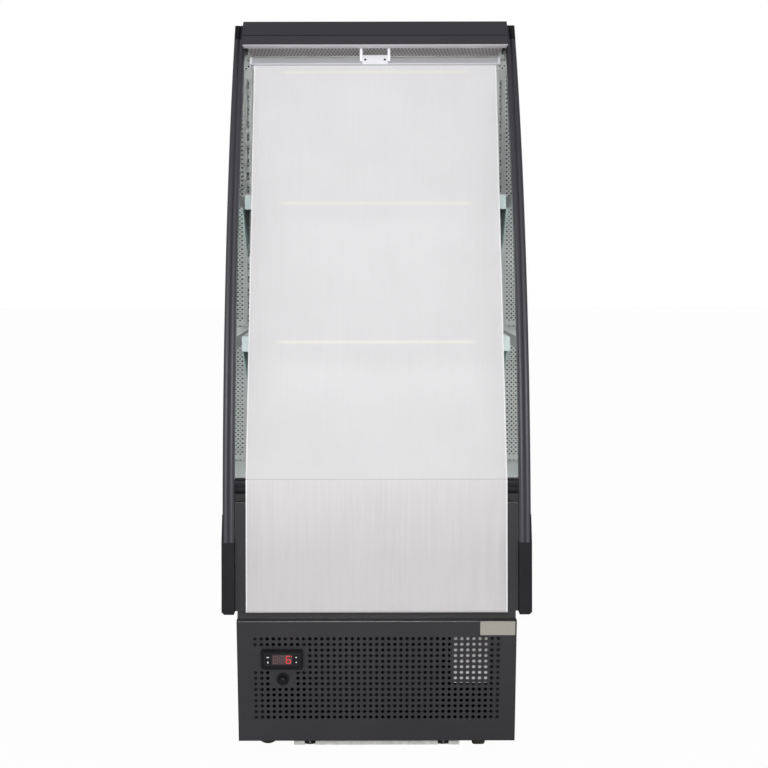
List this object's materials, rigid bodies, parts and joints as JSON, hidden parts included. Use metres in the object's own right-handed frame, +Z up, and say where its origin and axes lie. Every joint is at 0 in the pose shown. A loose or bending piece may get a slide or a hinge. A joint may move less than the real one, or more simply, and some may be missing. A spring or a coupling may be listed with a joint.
{
  "type": "open multideck display fridge",
  "caption": "Open multideck display fridge with curved side panels, shelves behind a pulled-up night blind, perforated base grille and castors.",
  "frame": {"origin": "on the floor, in the middle of the cabinet's width and depth", "axes": "+Z up, the front faces -Y, +X to the viewer's right as seen from the front"},
  "size_m": [0.6, 0.7, 1.5],
  "materials": {
    "anthracite_sheet": "satin powder coat",
    "side_skin": "satin powder coat",
    "trim_plastic": "ribbed, soft gloss",
    "black_plastic": "moulded",
    "mirror_steel": "mirror polished sheet",
    "light_grey_extrusion": "satin",
    "grey_cells": "moulded cells",
    "white_sheet": "white powder coat",
    "bracket_paint": "pale green powder coat",
    "white_plastic": "moulded",
    "lamp_diffuser": "opal diffuser",
    "blind_cloth": "white translucent coated fabric",
    "bare_aluminium": "mill finish",
    "galvanised": "galvanised",
    "fan_plastic": "moulded",
    "compressor_black": "gloss enamel",
    "copper_pipe": "drawn copper",
    "black_rubber": "moulded",
    "display_window": "smoked window",
    "tread": "olive brown tread"
  },
  "bodies": {
    "cabinet": {"air_outlet_honeycomb": "grey_cells", "base_deck": "white_sheet", "base_grille": "anthracite_sheet", "base_housing": "anthracite_sheet", "blind_apron": "blind_cloth", "blind_brackets": "galvanised", "bumper": "black_plastic", "cable_gland": "black_plastic", "canopy": "anthracite_sheet", "canopy_lip": "light_grey_extrusion", "castor_plates": "galvanised", "compressor": "compressor_black", "condensate_tray": "white_plastic", "condenser_coil": "bare_aluminium", "condenser_fan_motor": "fan_plastic", "condenser_fan_shroud": "galvanised", "controller_case": "black_plastic", "controller_window": "display_window", "duct_panels": "white_sheet", "evaporator_coil": "bare_aluminium", "evaporator_fan_motors": "fan_plastic", "evaporator_fan_plate": "white_sheet", "lamps": "lamp_diffuser", "pipework": "copper_pipe", "price_rails": "white_plastic", "rear_grille": "anthracite_sheet", "rear_wall": "side_skin", "return_air_grille": "white_sheet", "roof_panel": "side_skin", "rubber_mounts": "black_rubber", "shelf_brackets": "bracket_paint", "shelf_uprights": "white_sheet", "shelves": "white_sheet", "side_mirrors": "mirror_steel", "side_mouldings": "black_plastic", "side_panels": "side_skin", "side_trims": "trim_plastic", "switch_bezel": "black_plastic", "under_tray": "galvanised", "well_panel": "anthracite_sheet", "well_tub": "white_sheet", "wiring_box": "white_plastic"},
    "blind_bar": {"blind_fabric": "blind_cloth", "pull_bar": "light_grey_extrusion", "pull_handle": "white_plastic"},
    "blind_roller": {"blind_roller": "bare_aluminium"},
    "evaporator_fan_left": {"evaporator_fan_left": "fan_plastic"},
    "evaporator_fan_right": {"evaporator_fan_right": "fan_plastic"},
    "condenser_fan": {"condenser_fan": "fan_plastic"},
    "key_left_lower": {"key_left_lower": "white_plastic"},
    "key_left_upper": {"key_left_upper": "white_plastic"},
    "key_right_lower": {"key_right_lower": "white_plastic"},
    "key_right_upper": {"key_right_upper": "white_plastic"},
    "switch_button": {"switch_button": "black_plastic"},
    "castor_left": {"castor_fork_left": "galvanised"},
    "castor_right": {"castor_fork_right": "galvanised"},
    "wheel_front_left": {"wheel_front_left": "tread"},
    "wheel_front_right": {"wheel_front_right": "tread"},
    "wheel_rear_left": {"wheel_rear_left": "tread"},
    "wheel_rear_right": {"wheel_rear_right": "tread"}
  },
  "joints": [
    {"name": "blind_travel", "type": "slide", "parent": "cabinet", "child": "blind_bar", "axis": [0, -0.2872, -0.9579], "range_m": [0, 0.85], "deforming": ["blind_fabric"]},
    {"name": "blind_roller_spin", "type": "hinge", "parent": "cabinet", "child": "blind_roller", "pos_m": [0, -0.2925, 0.3325], "axis": [1, 0, 0], "range_deg": [0, 2568.2]},
    {"name": "evaporator_fan_left_spin", "type": "hinge", "parent": "cabinet", "child": "evaporator_fan_left", "pos_m": [-0.12, -0.1375, 0.43], "axis": [0, 1, 0], "continuous": true},
    {"name": "evaporator_fan_right_spin", "type": "hinge", "parent": "cabinet", "child": "evaporator_fan_right", "pos_m": [0.12, -0.1375, 0.43], "axis": [0, 1, 0], "continuous": true},
    {"name": "condenser_fan_spin", "type": "hinge", "parent": "cabinet", "child": "condenser_fan", "pos_m": [-0.005, -0.1285, 0.164], "axis": [0, 1, 0], "continuous": true},
    {"name": "key_left_lower_press", "type": "slide", "parent": "cabinet", "child": "key_left_lower", "axis": [0, 0.9785, 0.2062], "range_m": [0, 0.0005], "stiffness_N_per_m": 300},
    {"name": "key_left_upper_press", "type": "slide", "parent": "cabinet", "child": "key_left_upper", "axis": [0, 0.9785, 0.2062], "range_m": [0, 0.0005], "stiffness_N_per_m": 300},
    {"name": "key_right_lower_press", "type": "slide", "parent": "cabinet", "child": "key_right_lower", "axis": [0, 0.9785, 0.2062], "range_m": [0, 0.0005], "stiffness_N_per_m": 300},
    {"name": "key_right_upper_press", "type": "slide", "parent": "cabinet", "child": "key_right_upper", "axis": [0, 0.9785, 0.2062], "range_m": [0, 0.0005], "stiffness_N_per_m": 300},
    {"name": "switch_press", "type": "slide", "parent": "cabinet", "child": "switch_button", "axis": [0, 0.9785, 0.2062], "range_m": [0, 0.002], "stiffness_N_per_m": 300},
    {"name": "castor_left_swivel", "type": "hinge", "parent": "cabinet", "child": "castor_left", "pos_m": [-0.21, -0.121, 0.055], "axis": [0, 0, 1], "continuous": true},
    {"name": "castor_right_swivel", "type": "hinge", "parent": "cabinet", "child": "castor_right", "pos_m": [0.21, -0.121, 0.055], "axis": [0, 0, 1], "continuous": true},
    {"name": "wheel_front_left_spin", "type": "hinge", "parent": "castor_left", "child": "wheel_front_left", "pos_m": [-0.224, -0.121, 0.025], "axis": [0, 1, 0], "continuous": true},
    {"name": "wheel_front_right_spin", "type": "hinge", "parent": "castor_right", "child": "wheel_front_right", "pos_m": [0.21, -0.135, 0.025], "axis": [1, 0, 0], "continuous": true},
    {"name": "wheel_rear_left_spin", "type": "hinge", "parent": "cabinet", "child": "wheel_rear_left", "pos_m": [-0.21, 0.244, 0.025], "axis": [1, 0, 0], "continuous": true},
    {"name": "wheel_rear_right_spin", "type": "hinge", "parent": "cabinet", "child": "wheel_rear_right", "pos_m": [0.21, 0.244, 0.025], "axis": [1, 0, 0], "continuous": true}
  ],
  "couplings": [
    {"joint": "blind_roller_spin", "follows": "blind_travel", "rad_per_m": 52.632}
  ]
}
